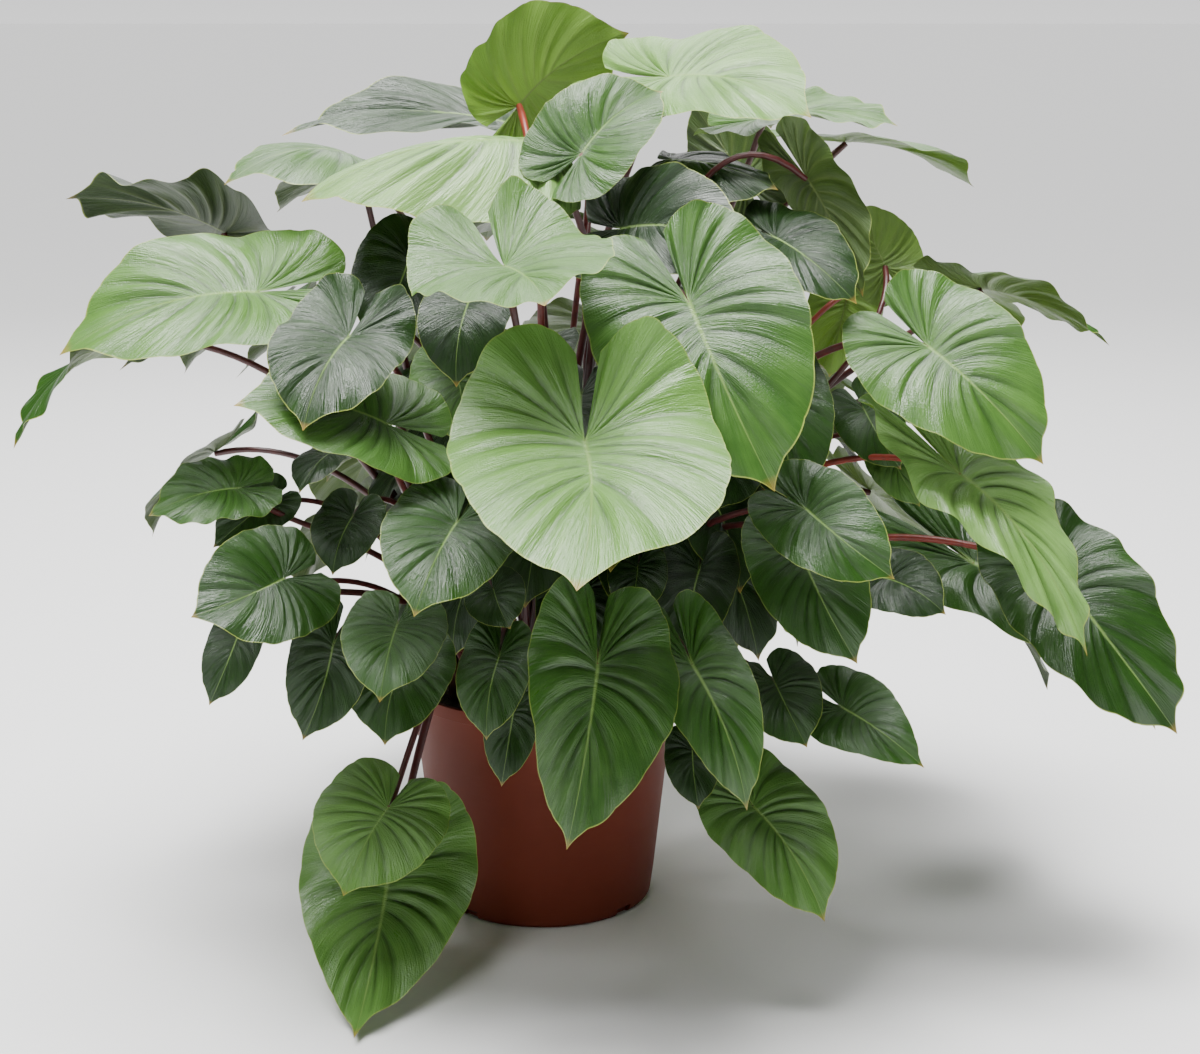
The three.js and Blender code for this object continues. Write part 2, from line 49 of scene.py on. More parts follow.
class Wire:
    # An output socket. Arithmetic on it adds Math nodes to its tree
    def __init__(self, graph, socket):
        self.graph = graph
        self.socket = socket

    def out(self, name):
        found = [s for s in self.socket.node.outputs if s.name == name and s.enabled]
        return Wire(self.graph, found[0])

    def math(self, operation, *values, **settings):
        return self.graph.add("ShaderNodeMath", {"operation": operation, **settings}, values)

    def __add__(self, other):
        return self.math("ADD", self, other)

    def __sub__(self, other):
        return self.math("SUBTRACT", self, other)

    def __mul__(self, other):
        return self.math("MULTIPLY", self, other)

    def __truediv__(self, other):
        return self.math("DIVIDE", self, other)

    def __pow__(self, other):
        return self.math("POWER", self, other)

    def __radd__(self, other):
        return self.math("ADD", other, self)

    def __rsub__(self, other):
        return self.math("SUBTRACT", other, self)

    def __rmul__(self, other):
        return self.math("MULTIPLY", other, self)

    def __rtruediv__(self, other):
        return self.math("DIVIDE", other, self)

    def __neg__(self):
        return self.math("MULTIPLY", self, -1)

    def least(self, other):
        return self.math("MINIMUM", self, other)

    def most(self, other):
        return self.math("MAXIMUM", self, other)

    def over(self, other):
        return self.math("GREATER_THAN", self, other)

    def sin(self):
        return self.math("SINE", self)

    def cos(self):
        return self.math("COSINE", self)

    def exp(self):
        return self.math("EXPONENT", self)

    def root(self):
        return self.math("SQRT", self)

    def size(self):
        return self.math("ABSOLUTE", self)

    def clip(self):
        return self.math("ADD", self, 0, use_clamp=True)


class Graph:
    def __init__(self, tree):
        self.tree = tree

    # One node: its type, its settings, then the values or links of its sockets, by place or name
    def add(self, kind, settings=None, values=(), output=0):
        node = self.tree.nodes.new(kind)
        for key, value in (settings or {}).items():
            if key == "stops":
                fillRamp(node.color_ramp.elements, value)
            else:
                setattr(node, key, value)
        sockets = [s for s in node.inputs if s.enabled]
        pairs = values.items() if isinstance(values, dict) else enumerate(values)
        for key, value in pairs:
            socket = sockets[key] if isinstance(key, int) else next(s for s in sockets if s.name == key)
            for item in value if isinstance(value, list) else [value]:
                if isinstance(item, Wire):
                    self.tree.links.new(item.socket, socket)
                else:
                    socket.default_value = item
        return Wire(self, [s for s in node.outputs if s.enabled][output]) if node.outputs else None

    def layer(self, name, output="Fac"):
        return self.add("ShaderNodeAttribute", {"attribute_name": name}).out(output)

    def xyz(self, *values):
        return self.add("ShaderNodeCombineXYZ", {}, values)

    def vector(self, operation, *values):
        return self.add("ShaderNodeVectorMath", {"operation": operation}, values)

    def named(self, name, kind="FLOAT"):
        return self.add("GeometryNodeInputNamedAttribute", {"data_type": kind}, {"Name": name})

    # Adds a share of each named vector to a start
    def blend(self, shares, start):
        for name, share in shares.items():
            start = self.vector("MULTIPLY_ADD", self.named(name, "FLOAT_VECTOR"), share, start)
        return start

    def keep(self, geometry, name, value, domain="POINT", kind="FLOAT"):
        settings = {"data_type": kind, "domain": domain}
        values = {"Geometry": geometry, "Name": name, "Value": value}
        return self.add("GeometryNodeStoreNamedAttribute", settings, values)

    def realized(self, geometry):
        return self.add("GeometryNodeRealizeInstances", {}, [geometry])

    def merged(self, geometry, distance):
        values = {"Geometry": geometry, "Distance": distance}
        return self.add("GeometryNodeMergeByDistance", {}, values)

    # Smooth faces, or sharp edges where an edge is chosen
    def shaded(self, geometry, edges=None):
        if edges is None:
            values, domain = {"Geometry": geometry, "Shade Smooth": True}, "FACE"
        else:
            values, domain = {"Geometry": geometry, "Selection": edges, "Shade Smooth": False}, "EDGE"
        return self.add("GeometryNodeSetShadeSmooth", {"domain": domain}, values)

    def mixed(self, factor, first, second):
        settings = {"data_type": "RGBA", "blend_type": "MIX", "clamp_factor": True}
        return self.add("ShaderNodeMix", settings, {"Factor": factor, "A": first, "B": second})

    def ramp(self, value, stops):
        return self.add("ShaderNodeValToRGB", {"stops": stops}, [value])


def fillRamp(elements, stops):
    while len(elements) < len(stops):
        elements.new(0.5)
    for element, (place, colour) in zip(elements, stops):
        element.position = place
        element.color = (*colour, 1)


# A geometry tree with a named input for each of its sizes, and one for the material
def newTree(name, sizes):
    tree = bpy.data.node_groups.new(name, "GeometryNodeTree")
    tree.interface.new_socket("Geometry", in_out="INPUT", socket_type="NodeSocketGeometry")
    tree.interface.new_socket("Geometry", in_out="OUTPUT", socket_type="NodeSocketGeometry")
    for label, value in sizes.items():
        kind = "NodeSocketInt" if isinstance(value, int) else "NodeSocketFloat"
        tree.interface.new_socket(label, in_out="INPUT", socket_type=kind).default_value = value
    tree.interface.new_socket("Material", in_out="INPUT", socket_type="NodeSocketMaterial")
    graph = Graph(tree)
    return graph, graph.add("NodeGroupInput")


def endTree(graph, geometry, given):
    values = {"Geometry": graph.realized(geometry), "Material": given.out("Material")}
    graph.add("NodeGroupOutput", {}, [graph.add("GeometryNodeSetMaterial", {}, values)])
    return graph.tree


# Loose vertices at the origin, one for each row, that carry the row's values as attributes
def seedMesh(name, rows):
    mesh = bpy.data.meshes.new(name)
    mesh.from_pydata([(0, 0, 0)] * len(rows), [], [])
    for key, first in rows[0].items():
        isVector = isinstance(first, Vector)
        held = mesh.attributes.new(key, "FLOAT_VECTOR" if isVector else "FLOAT", "POINT")
        for spot, row in zip(held.data, rows):
            if isVector:
                spot.vector = row[key]
            else:
                spot.value = row[key]
    return mesh


# Runs a tree on a mesh and keeps the result as a plain mesh object at the origin
def grow(name, mesh, tree, sizes, kept=()):
    host = bpy.data.objects.new(name + "_seed", mesh)
    bpy.context.scene.collection.objects.link(host)
    modifier = host.modifiers.new("grow", "NODES")
    modifier.node_group = tree
    for item in tree.interface.items_tree:
        if item.item_type == "SOCKET" and item.in_out == "INPUT" and item.name in sizes:
            modifier[item.identifier] = sizes[item.name]
    shapes = bpy.context.evaluated_depsgraph_get()
    made = bpy.data.meshes.new_from_object(
        host.evaluated_get(shapes), preserve_all_data_layers=True, depsgraph=shapes)
    bpy.data.objects.remove(host)
    wanted = (*kept, "sharp_edge", "sharp_face", "material_index")
    spare = [a.name for a in made.attributes
             if not (a.name in wanted or a.name.startswith(".") or a.is_internal or a.is_required)]
    for label in spare:
        made.attributes.remove(made.attributes[label])
    made.name = name
    piece = bpy.data.objects.new(name, made)
    bpy.context.scene.collection.objects.link(piece)
    return piece


def settle(piece, slot, *nodes):
    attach(piece, "root")
    if nodes:
        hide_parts(*nodes)
    return piece


# Materials

def newMaterial(name):
    material = bpy.data.materials.new(name)
    material.use_nodes = True
    material.node_tree.nodes.clear()
    return material, Graph(material.node_tree)


def finishMaterial(graph, colour, roughness, height, strength, distance, fixed=None):
    values = {"Strength": strength, "Distance": distance, "Height": height}
    relief = graph.add("ShaderNodeBump", {}, values)
    values = {"Base Color": colour, "Roughness": roughness, "Normal": relief, **(fixed or {})}
    shader = graph.add("ShaderNodeBsdfPrincipled", {}, values)
    graph.add("ShaderNodeOutputMaterial", {}, [shader])


def noiseOn(graph, place, scale, detail=3, roughness=0.55):
    values = {"Vector": place, "Scale": scale, "Detail": detail, "Roughness": roughness}
    return graph.add("ShaderNodeTexNoise", {}, values)


leafFinish = {
    "midribWidth": 0.011,
    "marginWidth": 0.014,
    "tipStart": 0.93,
    "blotchScale": 24,
    "blotchShade": 0.30,
    "streakShade": 0.35,
    # How strongly painted shade darkens the vein grooves on the upper face
    "grooveShadeTop": 0.75,
    "grooveUnder": 0.35,
    "poreScale": 600,
    "roughness": 0.31,
    "underRoughness": 0.16,
    "relief": 0.5,
    # Upper face from deep to palest and lower face from underDeep to underPale: painted shade for
    # leaves in shadow through painted light and sheen for lit ones, and underPale paints light shining
    # through a lower face. deep is also the painted shade in the vein grooves
    "deep": (0.007, 0.023, 0.004),
    "middle": (0.026, 0.082, 0.009),
    "pale": (0.120, 0.260, 0.050),
    "palest": (0.220, 0.390, 0.110),
    "underDeep": (0.020, 0.042, 0.008),
    "underMiddle": (0.070, 0.130, 0.018),
    "underPale": (0.170, 0.330, 0.030),
    "ribTop": (0.230, 0.370, 0.090),
    "ribUnder": (0.150, 0.200, 0.050),
    "margin": (0.300, 0.370, 0.070),
    "tip": (0.330, 0.200, 0.030),
}


# Leaf skin. veinMap holds the count along the veins, the share from midrib to margin and the share
# from tip to sinus; bladeAt holds the place across and along the blade and a number for each leaf;
# under is 1 on the lower face; tone, mostly painted light and shade, runs from deep shade to pale
def makeLeafSkin():
    c = leafFinish
    material, g = newMaterial("leafSkin")
    place = g.add("ShaderNodeTexCoord").out("Object")
    veinMap = g.layer("veinMap", "Vector")
    bladeAt = g.layer("bladeAt", "Vector")
    under = g.layer("under")
    tone = g.layer("tone")
    veinParts = g.add("ShaderNodeSeparateXYZ", {}, [veinMap])
    bladeParts = g.add("ShaderNodeSeparateXYZ", {}, [bladeAt])
    count, rho = veinParts.out("X"), veinParts.out("Y")
    across, along, mark = bladeParts.out("X"), bladeParts.out("Y"), bladeParts.out("Z")

    # Streaks run along the veins; blotches don't
    streakPlace = g.xyz(count * 3.5, rho * 1.6, mark)
    streak = noiseOn(g, streakPlace, 1.6, 4, 0.62).out("Fac") - 0.5
    blotch = noiseOn(g, place, c["blotchScale"], 2).out("Fac") - 0.5
    # The tone picks each face's colour on a ramp from painted shade to painted light and sheen; at the
    # pale end of the lower face it paints light shining through the leaf
    shade = (tone + blotch * c["blotchShade"] + streak * c["streakShade"]) * 0.8
    top = g.ramp(shade, [(0, c["deep"]), (0.36, c["middle"]), (0.8, c["pale"]), (1, c["palest"])])
    low = g.ramp(shade, [(0, c["underDeep"]), (0.36, c["underMiddle"]), (0.8, c["underPale"])])
    skin = g.mixed(under, top, low)

    # Side veins lie in grooves that painted shade darkens above, and stand out pale below
    fromVein = count.math("PINGPONG", count, 0.5)
    groove = (1 - fromVein * 5).clip() * (rho * 8).least(1) * (1.1 - rho).clip()
    grooveShaded = g.mixed(groove * (1 - under) * c["grooveShadeTop"], skin, (*c["deep"], 1))
    veined = g.mixed(groove * under * c["grooveUnder"], grooveShaded, (*c["ribUnder"], 1))

    ribWidth = (1.12 - along).most(0.12) * c["midribWidth"]
    rib = (1.3 - across.size() / ribWidth).clip() * (along * 12 + 1.4).clip()
    ribColour = g.mixed(under, (*c["ribTop"], 1), (*c["ribUnder"], 1))
    ribbed = g.mixed(rib * (0.75 - along * 0.35), veined, ribColour)

    edge = ((rho - (1 - c["marginWidth"])) / c["marginWidth"] * 1.6).clip()
    edged = g.mixed(edge * (0.45 + along.clip() * 0.5), ribbed, (*c["margin"], 1))
    tip = ((along - c["tipStart"]) * 14 + blotch * 0.8).clip()
    colour = g.mixed(tip * 0.85, edged, (*c["tip"], 1))

    pores = g.add("ShaderNodeTexVoronoi", {"feature": "F1"}, {"Vector": place, "Scale": c["poreScale"]})
    finePlace = g.xyz(count * 11, rho * 2.4, mark)
    fine = noiseOn(g, finePlace, 1.5, 2, 0.6).out("Fac")
    raised = rib * (under * 2 - 1) * 0.6
    height = fine * 1.8 + streak * 2.2 + pores.out("Distance") * 0.3 + raised
    roughness = c["roughness"] + under * c["underRoughness"] + blotch * 0.14 - streak * 0.10
    finishMaterial(g, colour, roughness, height, c["relief"], 0.001)
    return material


stalkFinish = {
    "streakScale": 90,
    "grainScale": 500,
    "roughness": 0.36,
    "relief": 0.25,
    "dark": (0.030, 0.006, 0.007),
    "middle": (0.075, 0.013, 0.012),
    "brick": (0.300, 0.040, 0.022),
    "base": (0.090, 0.050, 0.025),
}


def makeStalkSkin():
    c = stalkFinish
    material, g = newMaterial("stalkSkin")
    place = g.add("ShaderNodeTexCoord").out("Object")
    along = g.layer("alongStalk")
    tone = g.layer("tone")
    streak = noiseOn(g, place, c["streakScale"], 4).out("Fac")
    shade = tone * 0.7 + along * 0.15 + (streak - 0.5) * 0.6
    red = g.ramp(shade, [(0.0, c["dark"]), (0.45, c["middle"]), (1.0, c["brick"])])
    foot = (1 - along * 9).clip() * 0.7
    colour = g.mixed(foot, red, (*c["base"], 1))
    height = noiseOn(g, place, c["grainScale"], 3).out("Fac")
    finishMaterial(g, colour, c["roughness"] + (streak - 0.5) * 0.2, height, c["relief"], 0.0006)
    return material


potFinish = {
    "cloudScale": 9,
    "rubScale": 35,
    "grainScale": 900,
    "roughness": 0.56,
    "relief": 0.15,
    "specular": 0.2,
    "colour": (0.128, 0.021, 0.008),
    "worn": (0.150, 0.034, 0.017),
}


def makePotPlastic():
    c = potFinish
    material, g = newMaterial("potPlastic")
    place = g.add("ShaderNodeTexCoord").out("Object")
    cloud = noiseOn(g, place, c["cloudScale"], 4).out("Fac")
    rubbed = noiseOn(g, g.vector("MULTIPLY", place, (1, 1, 6)), c["rubScale"], 5).out("Fac")
    worn = ((rubbed - 0.58) * 5).clip() * 0.35 + (cloud - 0.5) * 0.25
    colour = g.mixed(worn.clip(), (*c["colour"], 1), (*c["worn"], 1))
    grain = noiseOn(g, place, c["grainScale"], 2).out("Fac")
    roughness = c["roughness"] + (cloud - 0.5) * 0.14 + worn * 0.1
    fixed = {"Specular IOR Level": c["specular"]}
    finishMaterial(g, colour, roughness, grain, c["relief"], 0.0005, fixed)
    return material


def makeEarth(name, dark, light):
    material, g = newMaterial(name)
    place = g.add("ShaderNodeTexCoord").out("Object")
    lump = noiseOn(g, place, 160, 5, 0.7).out("Fac")
    patch = noiseOn(g, place, 28, 2).out("Fac")
    colour = g.mixed((lump * 0.7 + patch * 0.5 - 0.15).clip(), (*dark, 1), (*light, 1))
    finishMaterial(g, colour, 0.8 + lump * 0.18, lump, 0.8, 0.002)
    return material


leafSkin = makeLeafSkin()
stalkSkin = makeStalkSkin()
potPlastic = makePotPlastic()
soilPeat = makeEarth("soilPeat", (0.012, 0.008, 0.006), (0.055, 0.036, 0.024))
soilBark = makeEarth("soilBark", (0.030, 0.016, 0.009), (0.120, 0.070, 0.040))
soilGrit = makeEarth("soilGrit", (0.420, 0.400, 0.370), (0.720, 0.700, 0.660))
print("materials made")


# The plant's table

crowns = {
    "left": (-78, -12),
    "front_left": (-54, -54),
    "front": (-8, -78),
    "front_right": (38, -70),
    "right": (74, -34),
    "middle": (0, -8),
    "upper_right": (37, -26),
    "back_left": (-58, 50),
    "back_middle": (-8, 76),
    "back_right": (42, 62),
    "back_side": (76, 16),
}

# Ways in which the upper faces look
toFront = (0, -0.85, 0.5)
frontAndUp = (0, -0.6, 0.8)
skyward = (0, -0.25, 1)
fromFront = (0, 0.8, 0.4)

formDefaults = {
    "arch": 0.08, "fold": 0.22, "cup": 0.3, "lift": 0.2, "wave": 0.03, "waves": 2.5,
    "phase": 0.25, "twist": 0, "lobes": 1.2, "point": 0.12, "frill": 1, "tone": 0.3,
}


# A leaf: its crown, the seat where its stalk meets it, its tip, its width, and what sets it apart.
# tone is how pale its shown face is, partly its own colour and mostly painted light and shade, frill
# how much its margin is crimped, red how red its stalk is
def leaf(crown, seat, tip, width, **form):
    return {"crown": crown, "seat": Vector(seat), "tip": Vector(tip), "width": width,
            **formDefaults, **form}


leaves = {
    "upper_left_1": leaf("left", (-295, -60, 680), (-430, -110, 715), 150,
        face=(0.1, 0.5, 0.85), wave=0.07, frill=3, tone=0),
    "upper_left_2": leaf("left", (-240, -230, 645), (-405, -265, 595), 160,
        face=(0, -0.6, 0.85), red=0.45, tone=0.8),
    "upper_left_3": leaf("left", (-395, -95, 585), (-482, -145, 490), 130,
        face=(-0.7, 0.15, 0.6), twist=0.6, frill=2, tone=0.35),
    "upper_left_4": leaf("left", (-254, -130, 611), (-378, -160, 565), 100,
        face=(0, 0.3, 0.95), tone=0.05),
    "upper_left_5": leaf("left", (-165, -80, 750), (-275, -168, 732), 140,
        face=skyward, arch=0.14, fold=0, cup=0.6, tone=0.6),
    "upper_left_6": leaf("middle", (-35, 75, 775), (-250, 15, 765), 135,
        face=(0, -0.35, 1), lobes=0.7, tone=0.12),
    "upper_left_7": leaf("middle", (0, -175, 770), (-201, -215, 721), 160,
        face=(0, -0.35, 0.9), fold=-0.45, lobes=0.3, phase=0, tone=1.15),
    "upper_left_8": leaf("front_left", (-150, -330, 620), (-180, -400, 555), 110,
        face=toFront, lobes=1.5, lift=0.6, red=0.4, frill=2, tone=0.12),
    "upper_left_9": leaf("left", (-120, -340, 550), (-240, -370, 570), 125,
        face=frontAndUp, red=0.4, tone=0.6),
    "top_1": leaf("middle", (-20, -345, 680), (15, -455, 662), 165,
        arch=0.02, lift=1.1, fold=0.25, lobes=1.5, enter=85, frill=2, tone=0.75),
    "top_2": leaf("middle", (41, -200, 761), (113, -150, 813), 105,
        face=(-0.2, -0.8, 0.55), fold=0.4, phase=0, enter=90, rise=420, run=90, red=0.6, tone=0.55),
    "top_3": leaf("middle", (-20, -20, 795), (85, 15, 862), 155,
        face=fromFront, lobes=0.9, red=0.95, frill=2.5, tone=0.95),
    "top_5": leaf("middle", (120, -95, 824), (243, -165, 790), 165,
        face=(0, -0.55, 0.85), lobes=1.5, tone=1.1),
    "top_6": leaf("upper_right", (212, -20, 784), (333, -65, 778), 115,
        face=skyward, frill=2, tone=0.7),
    "top_7": leaf("upper_right", (200, 60, 722), (147, 100, 797), 100, face=fromFront, tone=0.2),
    "top_8": leaf("middle", (122, -130, 752), (214, -175, 728), 95,
        face=(0, -0.5, 0.9), fold=-0.3, lobes=0.5, tone=0.12),
    "top_9": leaf("upper_right", (240, -165, 738), (290, -185, 635), 80,
        face=(0.6, 0.7, 0.3), frill=2, tone=0.3),
    "top_10": leaf("upper_right", (210, -200, 689), (277, -250, 637), 100,
        face=(0.3, -0.7, 0.6), tone=0.05),
    "middle_1": leaf("front_right", (76, -213, 698), (184, -273, 684), 122,
        face=toFront, lobes=0.95, frill=2, tone=0.05),
    "middle_2": leaf("front_right", (131, -310, 646), (199, -380, 501), 185,
        face=toFront, red=0.5, frill=1.6, tone=0.55),
    "middle_3": leaf("front_right", (210, -238, 559), (225, -268, 464), 95, face=toFront, tone=0.3),
    "middle_4": leaf("front", (45, -420, 550), (40, -570, 468), 225,
        face=frontAndUp, arch=0.03, lift=1.1, lobes=1.35, tone=0.95),
    "middle_5": leaf("front_left", (-60, -380, 475), (-90, -450, 415), 110, face=toFront, tone=0.3),
    "right_1": leaf("right", (340, -250, 600), (435, -290, 505), 145,
        face=(0.1, -0.85, 0.45), point=0.25, red=0.6, frill=1.6, tone=0.66),
    "right_2": leaf("right", (319, -110, 653), (287, -120, 712), 75, face=fromFront, tone=0.6),
    "right_3": leaf("right", (400, -160, 640), (505, -210, 595), 120,
        face=(0.2, 0.3, 0.9), frill=2, tone=0.5),
    "right_4": leaf("right", (290, -60, 619), (273, -80, 546), 75,
        face=(0.3, 0.8, 0.3), enter=60, run=60, red=0.8, tone=0.8),
    "right_5": leaf("right", (370, -260, 490), (473, -325, 345), 105,
        face=(0.35, -0.75, 0.55), lobes=1.4, twist=-0.25, point=0.5, red=1.0, frill=3.5, tone=1.1),
    "right_6": leaf("right", (475, -200, 380), (575, -250, 250), 135,
        face=(0.15, -0.85, 0.5), red=0.8, frill=3, tone=0.25),
    "right_7": leaf("right", (417, -80, 365), (585, -140, 217), 120,
        face=(0.3, -0.7, 0.5), red=0.8, frill=2.5, tone=0.35),
    "lower_right_1": leaf("front_right", (229, -300, 430), (275, -340, 343), 100,
        face=toFront, tone=0.3),
    "lower_right_2": leaf("front_right", (230, -330, 475), (300, -370, 425), 90,
        face=toFront, tone=0.32),
    "lower_right_3": leaf("right", (305, -270, 400), (355, -300, 375), 65, face=toFront, tone=0.05),
    "lower_right_4": leaf("front_right", (270, -300, 290), (335, -340, 250), 80,
        face=toFront, point=0.5, tone=0.33),
    "lower_right_6": leaf("front_right", (210, -290, 310), (235, -330, 265), 75,
        face=toFront, tone=0.22),
    "lower_right_7": leaf("front_right", (195, -260, 185), (255, -320, 100), 100,
        face=toFront, frill=2, tone=0.68),
    "lower_right_8": leaf("front_right", (135, -350, 345), (180, -390, 230), 85,
        face=toFront, point=0.3, tone=0.45),
    "lower_middle_1": leaf("front", (55, -382, 355), (30, -452, 220), 143,
        face=(0.45, -0.8, 0.4), fold=0.4, point=0.3, red=0.7, tone=0.5),
    "lower_middle_2": leaf("front", (-30, -310, 340), (-40, -340, 275), 65, face=toFront, tone=0.27),
    "lower_left_1": leaf("front_left", (-210, -330, 415), (-280, -380, 395), 110,
        face=toFront, frill=2, tone=0.25),
    "lower_left_2": leaf("front_left", (-115, -330, 375), (-125, -390, 325), 90,
        face=toFront, tone=0.42),
    "lower_left_4": leaf("left", (-258, -270, 480), (-330, -290, 460), 78,
        face=frontAndUp, frill=3, tone=0.5),
    "lower_left_9": leaf("front_left", (-175, -290, 345), (-200, -320, 268), 75,
        face=toFront, tone=0.12),
    "lower_left_10": leaf("front_left", (-115, -270, 325), (-130, -310, 260), 95,
        face=toFront, tone=0.25),
    "lower_left_11": leaf("front_left", (-135, -250, 180), (-170, -310, 120), 120,
        face=toFront, rise=200, run=80, enter=75, tone=0.85),
    "lower_left_12": leaf("front_left", (-140, -215, 96), (-158, -360, 8), 180,
        face=frontAndUp, arch=-0.09, cup=0.25, point=0.7, enter=35, rise=220, run=65, tone=0.72),
}

# Small leaves: one near the top of the far side, and the rest between the large ones. Those of
# smallRows face the front, and their last number is the tone, mostly dark with painted shade
smallRows = [
    ("middle", (-112, -180, 668), (-145, -220, 598), 95, 0.05),
    ("left", (-260, -270, 350), (-285, -290, 290), 50, 0.08),
    ("left", (-160, -250, 450), (-175, -280, 405), 62, 0.1),
    ("left", (-240, -220, 455), (-285, -240, 420), 55, 0.15),
    ("middle", (-55, -250, 640), (-65, -280, 570), 80, 0.05),
    ("front", (-35, -290, 395), (-20, -310, 365), 56, 0.1),
    ("front", (-20, -260, 275), (-30, -290, 215), 50, 0.1),
    ("front", (-68, -235, 575), (-62, -255, 515), 85, 0.6),
    ("front", (90, -250, 405), (80, -280, 365), 55, 0.15),
    ("front", (-22, -262, 500), (-30, -300, 440), 80, 0.3),
    ("right", (296, -170, 531), (328, -190, 480), 65, 0.3),
    ("right", (320, -170, 492), (346, -190, 446), 53, 0.7),
    ("front_right", (145, -240, 400), (135, -280, 330), 75, 0),
    ("front_right", (170, -225, 495), (158, -248, 455), 65, 0.05),
    ("front_right", (140, -250, 235), (145, -280, 190), 52, 0.1),
]
smallLeaves = [
    leaf("back_right", (66, 98, 792), (92, 200, 762), 125, face=skyward, tone=0.45),
    leaf("left", (-175, -260, 510), (-200, -290, 480), 60, tone=0),
    *(leaf(*row, face=toFront, tone=tone) for *row, tone in smallRows),
]

canopy = {"centre": Vector((60, -10, 400)), "reach": Vector((430, 400, 450)), "setUp": 20}

goldenShare = 0.618034

farSide = {
    "count": 29, "firstDeg": -2, "spanDeg": 184, "lowest": -0.3, "highest": 0.9,
    "innerShare": 0.67, "outerShare": 0.94, "setBack": 40, "shortest": 115, "longest": 160,
    "widthShare": 1.08, "sideDipDeg": 55, "topDipDeg": 10, "darkest": 0.2, "palest": 0.7,
    "crowns": ["back_side", "back_right", "back_middle", "back_left"],
}

# These inner leaves all get the same dark tone: painted shade
innerSide = {
    "count": 30, "firstDeg": 178, "spanDeg": 184, "lowest": -0.45, "highest": 0.85,
    "innerShare": 0.36, "outerShare": 0.52, "setBack": 0, "shortest": 85, "longest": 115,
    "widthShare": 1.05, "sideDipDeg": 62, "topDipDeg": 25, "darkest": 0.05, "palest": 0.05,
    "crowns": ["left", "front_left", "front", "front_right", "right"],
}


def between(low, high, share):
    return low + (high - low) * share


# A leaf that a rule spreads over a side of the canopy, at a share of the canopy's reach
def ruledLeaf(rule, k, depth):
    turn = k * goldenShare % 1
    azimuth = math.radians(rule["firstDeg"] + rule["spanDeg"] * turn)
    height = between(rule["lowest"], rule["highest"], (k + 0.5) / rule["count"])
    level = math.sqrt(1 - height * height) * depth
    heading = Vector((math.cos(azimuth), math.sin(azimuth), 0))
    reach = canopy["reach"]
    seat = canopy["centre"] + Vector((
        reach.x * level * heading.x, rule["setBack"] + reach.y * level * heading.y,
        canopy["setUp"] + reach.z * depth * height))
    length = between(rule["shortest"], rule["longest"], k * 0.755 % 1)
    dip = math.radians(between(rule["sideDipDeg"], rule["topDipDeg"], max(0, height)))
    tip = seat + heading * length * math.cos(dip) - Vector((0, 0, length * math.sin(dip)))
    crown = rule["crowns"][int(turn * len(rule["crowns"]))]
    tone = between(rule["darkest"], rule["palest"], k * 0.382 % 1)
    return leaf(crown, seat, tip, length * rule["widthShare"], phase=k * 0.37, tone=tone)


# The side that faces away
backLeaves = []
for k in range(farSide["count"]):
    depth = farSide["innerShare"] if k % 2 else farSide["outerShare"]
    backLeaves.append(ruledLeaf(farSide, k, depth))

# Leaves deep between the stalks inside the side that faces the camera, dark with painted shade
innerLeaves = []
for k in range(innerSide["count"]):
    depth = between(innerSide["innerShare"], innerSide["outerShare"], k * 0.41 % 1)
    innerLeaves.append(ruledLeaf(innerSide, k, depth))


# Leaf blades

bladeSizes = {
    "Columns": 120,
    "Rows": 11,
    "Thickness": 0.0009,
    "Veins": 11.0,
    "Pleat Depth": 0.024,
    "Scallop": 0.014,
    "Edge Ripple": 0.010,
    "Bow": 0.05,
}
smallBladeSizes = {**bladeSizes, "Columns": 48, "Rows": 7, "Veins": 9.0}

bladeRule = {
    "lobeAngleDeg": 171, "widthToLength": 1.21, "fanPower": 1.1, "midribShare": 0.55,
    "spineShare": 0.45, "spinePower": 1.3, "veinSag": 0.18, "valleyRound": 0.03, "pointRound": 0.17,
    "body": 0.55, "shoulder": 0.33, "shoulderDeg": 62, "drip": 0.12, "dripDeg": 5,
    "lobeFromDeg": 110, "lobeSpanDeg": 58, "lobeDraw": 0.34, "tipEase": 12,
    "wanderTurns": 2.3, "wander": 0.25, "puffPower": 0.7, "puffLow": 0.55,
    "unevenTurns": 3.1, "uneven": 0.3, "frillTurns": 6.7, "frillPower": 5,
    "pleatMiddle": 1.7, "pleatMargin": 0.15, "pleatEase": 8, "minorTurns": 2.6, "minor": 0.16,
    "rimPower": 8, "sinusPower": 40, "seatEase": 25, "nearOne": 0.9999, "mergeDistance": 0.00001,
}


